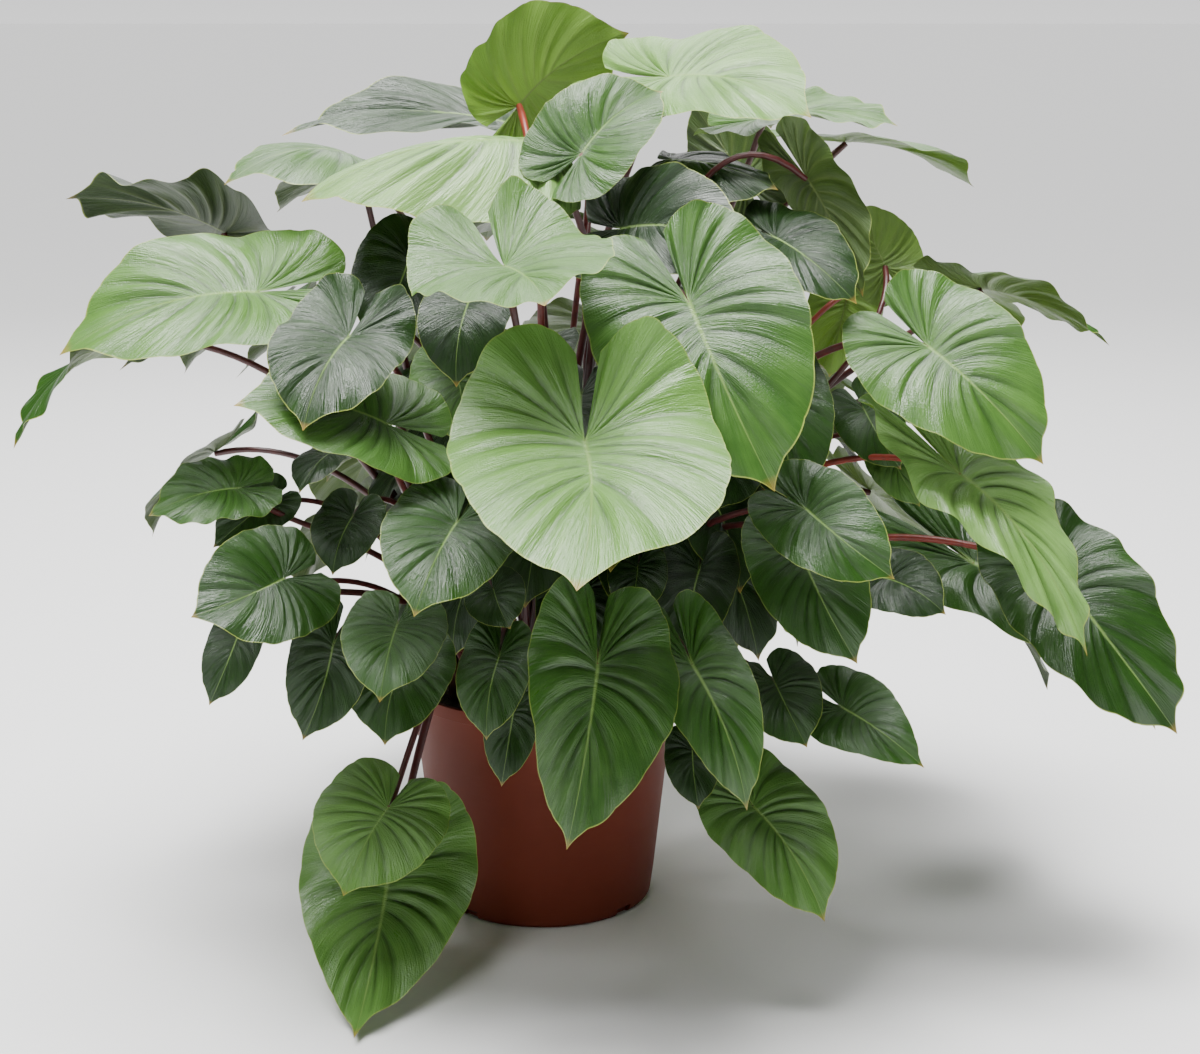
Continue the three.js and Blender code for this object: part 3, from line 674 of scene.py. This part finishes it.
# Every blade grows from two halves of a grid: u runs from the tip (0) round to the sinus (1), and
# rho along a vein from the midrib (0) to the margin (1)
def makeBladeTree():
    r, circle = bladeRule, 2 * math.pi
    g, given = newTree("leafBlades", bladeSizes)
    grid = g.add("GeometryNodeMeshGrid", {}, {
        "Size X": 1.0, "Size Y": 1.0,
        "Vertices X": given.out("Columns") + 1, "Vertices Y": given.out("Rows") + 1})
    leftHalf = g.add("GeometryNodeFlipFaces", {}, [grid])
    rightHalf = g.add("GeometryNodeTransform", {}, {"Geometry": grid, "Translation": (0, 0, 1)})
    halves = g.add("GeometryNodeJoinGeometry", {}, [[leftHalf, rightHalf]])
    spread = g.add("GeometryNodeInstanceOnPoints", {}, {
        "Points": given.out("Geometry"), "Instance": halves})
    sheet = g.realized(spread)

    place = g.add("ShaderNodeSeparateXYZ", {}, [g.add("GeometryNodeInputPosition")])
    u, rho, side = place.out("X") + 0.5, place.out("Y") + 0.5, place.out("Z") * 2 - 1
    phase = g.named("phase")

    # The heart-shaped outline about the seat, by the angle from the tip
    angle = u.most(0) ** r["fanPower"] * r["lobeAngleDeg"]
    drip = (angle * (-1 / r["dripDeg"])).exp() * r["drip"]
    shoulder = (-((angle / r["shoulderDeg"]) ** 2)).exp() * r["shoulder"]
    lobe = ((angle - r["lobeFromDeg"]) / r["lobeSpanDeg"]).most(0)
    radius = (drip + shoulder + r["body"]) * (1 - lobe * lobe * r["lobeDraw"])

    # The count of veins from the tip, and how the blade puffs up between them
    wander = ((u * r["wanderTurns"] + phase + side * 0.2) * circle).sin() * r["wander"]
    count = u * given.out("Veins") + wander
    puff = (count * math.pi).sin().size() ** r["puffPower"] - r["puffLow"]
    fromTip = (u * r["tipEase"]).least(1)
    radius = radius * (1 + puff * given.out("Scallop") * fromTip)
    turned = angle * (math.pi / 180)
    endX, reach = radius * turned.sin(), radius * turned.cos()
    endY = reach.most(0) + reach.least(0) * g.named("lobes")

    # A vein leaves the midrib at start, or the seat, and sags on its way to the margin
    start = (1 - u / r["midribShare"]).most(0) ** r["spinePower"] * r["spineShare"]
    sag = (endX ** 2 + (endY - start) * (endY - start)).root() * r["veinSag"]
    bend, inward = rho * (1 - rho) * 2, (1 - rho) * (1 - rho)
    flatX = endX * (bend / 2 + rho * rho)
    y = inward * start + bend * ((start + endY) / 2 - sag) + rho * rho * endY
    forward = (y + (y * y + r["pointRound"] ** 2).root()) / 2
    x = flatX * g.named("narrow") * (1 - g.named("point") * forward)

    # Arch, fold, cup and waves of the blade, and the pleats between its veins
    arch = g.named("arch")
    ahead, behind = y.most(0), y.least(0)
    rise = arch * y * 4 - arch * ahead * ahead * 4 + g.named("lift") * behind * behind
    slant = (x * x + r["valleyRound"] ** 2).root() - r["valleyRound"]
    valley = g.named("fold") * slant - g.named("cup") * x * x
    ripple = ((g.named("waves") * u + phase) * circle + side).sin()
    ripple = ripple * g.named("wave") * rho * rho * fromTip
    frill = ((u * r["frillTurns"] + phase * 3) * circle + side * 2).sin()
    frill = frill * rho ** r["frillPower"] * fromTip
    uneven = ((u * r["unevenTurns"] + phase * 1.7 + side * 0.3) * circle).sin() * r["uneven"] + 1
    shape = (bend * r["pleatMiddle"] + rho * r["pleatMargin"]) * (u * r["pleatEase"]).least(1)
    minor = (count * (math.pi * r["minorTurns"]) + phase * 9).sin() * r["minor"]
    pleat = (puff + minor) * uneven * shape * given.out("Pleat Depth")
    z = rise + valley + ripple + pleat + frill * g.named("frill") * given.out("Edge Ripple")
    twist = g.named("twist") * y
    bow = (g.named("mark") * 9).sin() * ahead * (1 - ahead) * given.out("Bow") * 4
    acrossX = side * x * twist.cos() - z * twist.sin() + bow
    acrossZ = side * x * twist.sin() + z * twist.cos()

    fromSeat = (x * x + y * y).root()
    taper = (1 - rho.most(0) ** r["rimPower"]) * (1 - u.most(0) ** r["sinusPower"])
    taper = taper * (fromSeat * r["seatEase"]).least(1)
    edge = r["nearOne"]
    rim = (rho.over(edge) + u.over(edge) + (1 - fromSeat).over(edge)).clip()
    sheet = g.keep(sheet, "veinMap", g.xyz(count, rho, u), "CORNER", "FLOAT_VECTOR")
    sheet = g.keep(sheet, "bladeAt", g.xyz(x, y, g.named("mark")), "POINT", "FLOAT_VECTOR")
    sheet = g.keep(sheet, "taper", taper.clip())
    sheet = g.keep(sheet, "rim", rim)

    shares = {"sideWay": acrossX, "alongWay": y, "faceWay": acrossZ}
    spot = g.blend(shares, g.named("seatAt", "FLOAT_VECTOR"))
    sheet = g.add("GeometryNodeSetPosition", {}, {"Geometry": sheet, "Position": spot})
    sheet = g.merged(sheet, r["mergeDistance"])

    # Two faces round the middle surface, which meet in a thin edge
    push = g.named("taper") * given.out("Thickness") * 0.5
    normal = g.add("GeometryNodeInputNormal")
    up = g.vector("MULTIPLY", normal, push)
    down = g.vector("MULTIPLY", normal, -push)
    upper = g.add("GeometryNodeSetPosition", {}, {"Geometry": sheet, "Offset": up})
    lower = g.add("GeometryNodeSetPosition", {}, {"Geometry": sheet, "Offset": down})
    upper = g.keep(upper, "under", 0.0, "CORNER")
    lower = g.keep(g.add("GeometryNodeFlipFaces", {}, [lower]), "under", 1.0, "CORNER")
    shell = g.add("GeometryNodeJoinGeometry", {}, [[upper, lower]])
    shell = g.merged(shell, r["mergeDistance"])
    creased = g.shaded(g.shaded(shell), g.named("rim").over(r["nearOne"]))
    return endTree(g, creased, given)


# Axes of a blade: along its midrib, up from its upper face and to its side, each as long as it is
def bladeAxes(item):
    along = item["tip"] - item["seat"]
    length = along.length
    along.normalize()
    outward = Vector((0, 0, 1)) + (item["seat"] - canopy["centre"]).normalized()
    facing = Vector(item["face"]) if "face" in item else outward
    face = (facing - along * facing.dot(along)).normalized()
    return along, face, along.cross(face), length


def bladeRow(item):
    along, face, side, length = bladeAxes(item)
    row = {key: float(item[key]) for key in formDefaults}
    row["seatAt"] = item["seat"] * mm
    row["alongWay"] = along * length * mm
    row["faceWay"] = face * length * mm
    row["sideWay"] = side * length * mm
    row["narrow"] = item["width"] / (bladeRule["widthToLength"] * length)
    row["mark"] = 7 * item["seat"].x * mm + 3 * item["seat"].z * mm
    return row


bladeTree = makeBladeTree()
leafLayers = ("veinMap", "bladeAt", "under", "tone")
sizes = {**bladeSizes, "Material": leafSkin}
for name, item in leaves.items():
    piece = grow("leaf_" + name, seedMesh(name, [bladeRow(item)]), bladeTree, sizes, leafLayers)
    settle(piece, "leaf", "blade_" + name)
print("large leaves:", len(leaves))


# Stalks and crowns

stalkSizes = {
    "Steps": 30,
    "Sides": 14,
    "Sheath": 0.45,
    "Knee": 0.22,
}

stalkRule = {
    "rootRadius": 2.8, "seatRadius": 1.9, "radiusByWidth": 0.013, "sink": 0.3,
    "enterDeg": 55, "hangingDeg": 45, "riseShare": 0.42, "runShare": 0.33, "leanShare": 0.12,
    "sheathFade": 16, "kneeAt": 0.965, "kneeFade": 32,
}

crownSizes = {
    "radius": 18, "footRadius": 15, "foot": 150, "top": 224, "stalkRing": 12.5, "stalkDepth": 10,
}


# Bars along Bezier paths, thicker at the sheath by the crown and at the knee under the blade
def makeStalkTree():
    r = stalkRule
    g, given = newTree("leafStalks", stalkSizes)
    straight = g.add("GeometryNodeCurvePrimitiveLine", {}, {"Start": (0, 0, 0), "End": (0, 0, 1)})
    stick = g.add("GeometryNodeResampleCurve", {"mode": "COUNT"}, {
        "Curve": straight, "Count": given.out("Steps") + 1})
    spread = g.add("GeometryNodeInstanceOnPoints", {}, {
        "Points": given.out("Geometry"), "Instance": stick})
    paths = g.realized(spread)

    t = g.add("GeometryNodeSplineParameter").out("Factor")
    back = 1 - t
    shares = {"rootAt": back ** 3, "leanAt": back * back * t * 3,
              "handleAt": back * t * t * 3, "endAt": t ** 3}
    spot = g.blend(shares, (0, 0, 0))
    paths = g.add("GeometryNodeSetPosition", {}, {"Geometry": paths, "Position": spot})

    along = g.add("GeometryNodeSplineParameter").out("Factor")
    paths = g.keep(paths, "alongStalk", along)
    taper = g.named("rootRadius") + (g.named("seatRadius") - g.named("rootRadius")) * along
    sheath = (along * -r["sheathFade"]).exp() * given.out("Sheath") * g.named("sheathed")
    fromKnee = (along - r["kneeAt"]) * r["kneeFade"]
    knee = (-(fromKnee ** 2)).exp() * given.out("Knee") * g.named("sheathed")
    ring = g.add("GeometryNodeCurvePrimitiveCircle", {"mode": "RADIUS"}, {
        "Resolution": given.out("Sides"), "Radius": 1.0})
    tube = g.add("GeometryNodeCurveToMesh", {}, {
        "Curve": paths, "Profile Curve": ring, "Scale": taper * (sheath + knee + 1), "Fill Caps": True})
    return endTree(g, g.shaded(tube), given)


# The stalks of a crown stand in a ring, in the order of the ways they lean
def stalkRoot(item, members):
    x, y = crowns[item["crown"]]
    c = crownSizes

    def heading(m):
        return math.atan2(m["seat"].y - y, m["seat"].x - x)

    way = heading(item)
    turns = [math.atan2(math.sin(heading(m) - way), math.cos(heading(m) - way)) for m in members]
    rank = sum(turn < 0 for turn in turns) - sum(turn > 0 for turn in turns)
    turn = way + rank * math.pi / len(members)
    return Vector((x + c["stalkRing"] * math.cos(turn), y + c["stalkRing"] * math.sin(turn),
                   c["top"] - c["stalkDepth"]))


def stalkRow(item, members):
    s = stalkRule
    along, face = bladeAxes(item)[:2]
    slope = 4 * item["arch"]
    tangent = (along + face * slope).normalized()
    normal = (face - along * slope).normalized()
    angle = math.radians(item.get("enter", s["enterDeg"] + s["hangingDeg"] * min(0, along.z)))
    arrival = tangent * math.cos(angle) + normal * math.sin(angle)
    seatRadius = s["seatRadius"] + s["radiusByWidth"] * item["width"] / 2
    end = item["seat"] - normal * (seatRadius * math.cos(angle) - s["sink"])
    root = stalkRoot(item, members)
    span = (end - root).length
    lean = Vector((end.x - root.x, end.y - root.y, 0)) * s["leanShare"]
    return {
        "rootAt": root * mm,
        "leanAt": (root + Vector((0, 0, item.get("rise", s["riseShare"] * span))) + lean) * mm,
        "handleAt": (end - arrival * item.get("run", s["runShare"] * span)) * mm,
        "endAt": end * mm,
        "rootRadius": (s["rootRadius"] + s["radiusByWidth"] * item["width"]) * mm,
        "seatRadius": seatRadius * mm,
        "sheathed": 1.0,
        "tone": float(item.get("red", 0.25)),
    }


def stemRow(x, y):
    c = crownSizes
    low, high = Vector((x, y, c["foot"])), Vector((x, y, c["top"]))
    return {
        "rootAt": low * mm, "leanAt": low.lerp(high, 1 / 3) * mm,
        "handleAt": low.lerp(high, 2 / 3) * mm, "endAt": high * mm,
        "rootRadius": c["footRadius"] * mm, "seatRadius": c["radius"] * mm,
        "sheathed": 0.0, "tone": 0.05,
    }


stalkTree = makeStalkTree()
for name, (x, y) in crowns.items():
    large = [item for item in leaves.values() if item["crown"] == name]
    small = [item for item in smallLeaves + backLeaves if item["crown"] == name]
    inner = [item for item in innerLeaves if item["crown"] == name]
    rows = [stemRow(x, y)] + [stalkRow(item, large + small) for item in large + small]
    rows += [stalkRow(item, inner) for item in inner]
    sizes = {**stalkSizes, "Material": stalkSkin}
    stalks = grow("stalks_" + name, seedMesh(name, rows), stalkTree, sizes, ("alongStalk", "tone"))
    settle(stalks, "stalk", "shoot_" + name)
    if small + inner:
        sizes = {**smallBladeSizes, "Material": leafSkin}
        seeds = seedMesh(name + "_small", [bladeRow(item) for item in small + inner])
        settle(grow("leaves_" + name, seeds, bladeTree, sizes, leafLayers), "leaf", "shoot_" + name)
print("crowns:", len(crowns))


# Pot and soil

potSizes = {
    "rimRadius": 137.5, "footRadius": 109, "height": 228, "wall": 2.4, "base": 3,
    "lipHeight": 14, "lipOut": 3.2, "footRound": 7, "innerRound": 4.2, "edgeRound": 0.8,
    "wallRings": (30, 120), "sides": 160, "sharpDeg": 35,
}

notchSizes = {
    "Count": 4, "Width": 0.020, "Height": 0.009, "Depth": 0.016, "Foot Radius": 0.109,
    "First Turn": math.radians(-42),
}

soilSizes = {
    "top": 202, "mound": 8, "moundRadius": 96, "gap": 0.3, "rings": 44, "sides": 144,
    "lump": 3.2, "lumpSize": 16, "calmEdge": 8, "crumbFree": 5,
}


def outerAt(z):
    p = potSizes
    return p["footRadius"] + (p["rimRadius"] - p["lipOut"] - p["footRadius"]) * z / p["height"]


# An arc of points round a corner of a turned profile
def corner(centre, radius, fromDeg, toDeg, steps=5):
    angles = [math.radians(between(fromDeg, toDeg, k / steps)) for k in range(steps + 1)]
    return [(centre[0] + radius * math.cos(a), centre[1] + radius * math.sin(a)) for a in angles]


# Turns a profile of (radius, height) that starts and ends on the axis, in millimetres
def turnedMesh(name, profile, sides):
    mesh = bpy.data.meshes.new(name)
    points, faces = [], []
    rings = profile[1:-1]
    for radius, z in rings:
        for k in range(sides):
            a = 2 * math.pi * k / sides
            points.append((radius * math.cos(a) * mm, radius * math.sin(a) * mm, z * mm))
    points += [(0, 0, profile[0][1] * mm), (0, 0, profile[-1][1] * mm)]
    for k in range(sides):
        n = (k + 1) % sides
        for i in range(len(rings) - 1):
            a, b = i * sides, (i + 1) * sides
            faces.append((a + k, a + n, b + n, b + k))
        last = (len(rings) - 1) * sides
        faces += [(len(points) - 2, n, k), (len(points) - 1, last + k, last + n)]
    mesh.from_pydata(points, [], faces)
    return mesh


def potProfile():
    p = potSizes
    lipFoot, e = p["height"] - p["lipHeight"], p["edgeRound"]
    rim, inner = p["rimRadius"], outerAt(p["height"]) - p["wall"]
    footRound, base = p["footRound"], p["base"]
    return [
        (0, 0), (p["footRadius"] - footRound, 0),
        *corner((p["footRadius"] - footRound + 0.2, footRound), footRound, -78, 0, 7),
        *((outerAt(z), z) for z in p["wallRings"]),
        (outerAt(lipFoot) - 0.1, lipFoot),
        *corner((rim - e, lipFoot + 1 + e), e, -90, 0),
        *corner((rim - e, p["height"] - e), e, 0, 90),
        *corner((inner + e, p["height"] - e), e, 90, 180),
        *((outerAt(z) - p["wall"], z) for z in reversed(p["wallRings"])),
        *corner((p["footRadius"] - footRound, base + p["innerRound"]), p["innerRound"], 0, -90, 6),
        (0, base),
    ]


# Cuts the drain notches, set round the foot
def makeNotchTree():
    g, given = newTree("drainNotches", notchSizes)
    circle = g.add("GeometryNodeMeshCircle", {"fill_type": "NONE"}, {
        "Vertices": given.out("Count"), "Radius": given.out("Foot Radius")})
    size = g.xyz(given.out("Depth"), given.out("Width"), given.out("Height") * 2)
    block = g.add("GeometryNodeMeshCube", {}, {"Size": size})
    spin = g.add("GeometryNodeInputIndex") * (2 * math.pi) / given.out("Count")
    ring = g.add("GeometryNodeInstanceOnPoints", {}, {
        "Points": circle, "Instance": block, "Rotation": g.xyz(0.0, 0.0, spin)})
    turned = g.add("GeometryNodeTransform", {}, {
        "Geometry": g.realized(ring), "Rotation": g.xyz(0.0, 0.0, given.out("First Turn"))})
    cut = g.add("GeometryNodeMeshBoolean", {"operation": "DIFFERENCE", "solver": "EXACT"}, {
        "Mesh 1": given.out("Geometry"), "Mesh 2": turned})
    angle = g.add("GeometryNodeInputMeshEdgeAngle").out("Unsigned Angle")
    creased = g.shaded(g.shaded(cut), angle.over(math.radians(potSizes["sharpDeg"])))
    return endTree(g, creased, given)


potMesh = turnedMesh("potTurned", potProfile(), potSizes["sides"])
pot = grow("nurseryPot", potMesh, makeNotchTree(), {**notchSizes, "Material": potPlastic})
settle(pot, "pot", "pot")


def lumpAt(x, y):
    s = soilSizes
    place = Vector((x, y, 0)) / s["lumpSize"]
    swells = noise.noise(place) + 0.5 * noise.noise(place * 2.7) + 0.3 * noise.noise(place * 6.1)
    return s["lump"] * swells


# The soil fills the pot to its shoulder, with a lumpy low mound on top
def makeSoil():
    s, p = soilSizes, potSizes
    inner = outerAt(s["top"]) - p["wall"] - s["gap"]
    low = p["base"] + s["gap"]
    foot = p["footRadius"] - p["footRound"] - s["gap"]
    profile = [(0, low), (foot, low), (foot + p["innerRound"], low + p["innerRound"])]
    for k in range(s["rings"], -1, -1):
        radius = inner * k / s["rings"]
        drop = max(0, (radius - s["moundRadius"]) / (inner - s["moundRadius"]))
        profile.append((radius, s["top"] + s["mound"] * (1 - drop)))
    mesh = turnedMesh("soilBed", profile, s["sides"])
    for v in mesh.vertices:
        x, y, z = v.co / mm
        if z > s["top"] - 1:
            edge = min(1, (inner - math.hypot(x, y)) / s["calmEdge"])
            v.co.z = (z - s["lump"] * 0.4 + lumpAt(x, y) * max(0.2, edge)) * mm
    mesh.materials.append(soilPeat)
    mesh.shade_smooth()
    piece = bpy.data.objects.new("soilBed", mesh)
    bpy.context.scene.collection.objects.link(piece)
    return settle(piece, "soil", "potting_soil")


crumbRule = {"lumpScale": 2.4, "narrow": 0.7, "tilt": 0.5}

crumbSizes = {
    "soilBark": {
        "Density": 11000.0, "Seed": 4, "Smallest": 0.0022, "Largest": 0.0060, "Flatness": 0.45},
    "soilGrit": {
        "Density": 2600.0, "Seed": 9, "Smallest": 0.0012, "Largest": 0.0028, "Flatness": 0.85},
}


# Crumbs that lie scattered on the soil
def makeCrumbTree():
    r = crumbRule
    g, given = newTree("soilCrumbs", crumbSizes["soilBark"])
    spots = g.add("GeometryNodeDistributePointsOnFaces", {"distribute_method": "RANDOM"}, {
        "Mesh": given.out("Geometry"), "Density": given.out("Density"), "Seed": given.out("Seed")})
    ball = g.add("GeometryNodeMeshIcoSphere", {}, {"Radius": 0.5, "Subdivisions": 1})
    place = g.add("GeometryNodeInputPosition")
    rough = noiseOn(g, place, r["lumpScale"], 1.0, 0.5).out("Color")
    shove = g.vector("SUBTRACT", rough, (0.5, 0.5, 0.5))
    lump = g.add("GeometryNodeSetPosition", {}, {"Geometry": ball, "Offset": shove})
    turn = g.add("FunctionNodeRandomValue", {"data_type": "FLOAT_VECTOR"}, {
        "Min": (-r["tilt"], -r["tilt"], 0.0), "Max": (r["tilt"], r["tilt"], 6.28),
        "Seed": given.out("Seed")})
    wide = g.add("FunctionNodeRandomValue", {"data_type": "FLOAT"}, {
        "Min": given.out("Smallest"), "Max": given.out("Largest"), "Seed": given.out("Seed") + 1})
    size = g.xyz(wide, wide * r["narrow"], wide * given.out("Flatness"))
    crumbs = g.add("GeometryNodeInstanceOnPoints", {}, {
        "Points": spots, "Instance": lump, "Rotation": turn, "Scale": size})
    return endTree(g, crumbs, given)


# A disc that follows the soil's surface, for the crumbs to fall on
def soilTop(soil):
    top = bpy.data.meshes.new("soilTop")
    low = (soilSizes["top"] - 6) * mm
    limit = (outerAt(soilSizes["top"]) - potSizes["wall"] - soilSizes["crumbFree"]) * mm
    spots = [v.co for v in soil.data.vertices]
    inside = [co.z > low and co.to_2d().length < limit for co in spots]
    faces = [tuple(f.vertices) for f in soil.data.polygons if all(inside[v] for v in f.vertices)]
    top.from_pydata([co[:] for co in spots], [], faces)
    return top


soil = makeSoil()
crumbTree = makeCrumbTree()
for name, material in (("soilBark", soilBark), ("soilGrit", soilGrit)):
    sizes = {**crumbSizes[name], "Material": material}
    settle(grow(name, soilTop(soil), crumbTree, sizes), "soil")
print("pot and soil made")


# Studio

studio = {
    "floorSize": 800, "floorColour": (0.88, 0.88, 0.875),
    "horizon": 1.2, "dome": 0.07, "bandHeight": 0.2,
    "cameraAt": (0.057, -2.1, 0.875), "pitchDeg": -13.2, "lens": 65.0,
}

lamps = {
    "overhead": {"kind": "AREA", "at": (0, -0.2, 3.2), "aim": (0.05, -0.1, 0.5), "size": (2.2, 2.2),
                 "power": 170},
    "front": {"kind": "AREA", "at": (-0.9, -2.4, 2.5), "aim": (0, -0.2, 0.3), "size": (0.9, 0.9),
              "power": 26},
    "behind": {"kind": "AREA", "at": (-0.2, 2.9, 2.7), "aim": (0.05, 0, 0.7), "size": (3.2, 2.0),
               "power": 70},
    "soft": {"kind": "SUN", "at": (-0.6, -0.45, 3.0), "aim": (0, 0, 0), "angleDeg": 30, "power": 4.0},
}


def makeStudio():
    s = studio
    half = s["floorSize"] / 2
    corners = [(-half, -half, 0), (half, -half, 0), (half, half, 0), (-half, half, 0)]
    mesh = bpy.data.meshes.new("studioFloor")
    mesh.from_pydata(corners, [], [(0, 1, 2, 3)])
    material, g = newMaterial("studioPaper")
    place = g.add("ShaderNodeTexCoord").out("Object")
    fibre = noiseOn(g, place, 300, 2).out("Fac")
    tint = g.mixed(fibre * 0.1, (*s["floorColour"], 1), (0.86, 0.86, 0.85, 1))
    finishMaterial(g, tint, 0.8 + fibre * 0.1, fibre, 0.05, 0.0005)
    mesh.materials.append(material)
    floor = bpy.data.objects.new("studioFloor", mesh)
    bpy.context.scene.collection.objects.link(floor)

    world = bpy.data.worlds.new("studioWorld")
    world.use_nodes = True
    world.node_tree.nodes.clear()
    g = Graph(world.node_tree)
    way = g.add("ShaderNodeSeparateXYZ", {}, [g.add("ShaderNodeTexCoord").out("Generated")])
    band = (1 - way.out("Z").size() / s["bandHeight"]).clip()
    strength = band * (s["horizon"] - s["dome"]) + s["dome"]
    glow = g.add("ShaderNodeBackground", {}, [(1, 1, 1, 1), strength])
    g.add("ShaderNodeOutputWorld", {}, [glow])
    bpy.context.scene.world = world

    for name, lamp in lamps.items():
        data = bpy.data.lights.new(name, lamp["kind"])
        data.energy = lamp["power"]
        if lamp["kind"] == "AREA":
            data.shape = "RECTANGLE"
            data.size, data.size_y = lamp["size"]
        else:
            data.angle = math.radians(lamp["angleDeg"])
        light = bpy.data.objects.new(name, data)
        light.location = lamp["at"]
        aim = Vector(lamp["aim"]) - light.location
        light.rotation_euler = aim.to_track_quat("-Z", "Y").to_euler()
        bpy.context.scene.collection.objects.link(light)

    data = bpy.data.cameras.new("studioCamera")
    data.lens = s["lens"]
    data.sensor_width = 36
    data.clip_end = 1000
    camera = bpy.data.objects.new("studioCamera", data)
    camera.location = s["cameraAt"]
    camera.rotation_euler = (math.radians(90 + s["pitchDeg"]), 0, 0)
    bpy.context.scene.collection.objects.link(camera)
    bpy.context.scene.camera = camera


makeStudio()
print("studio set")
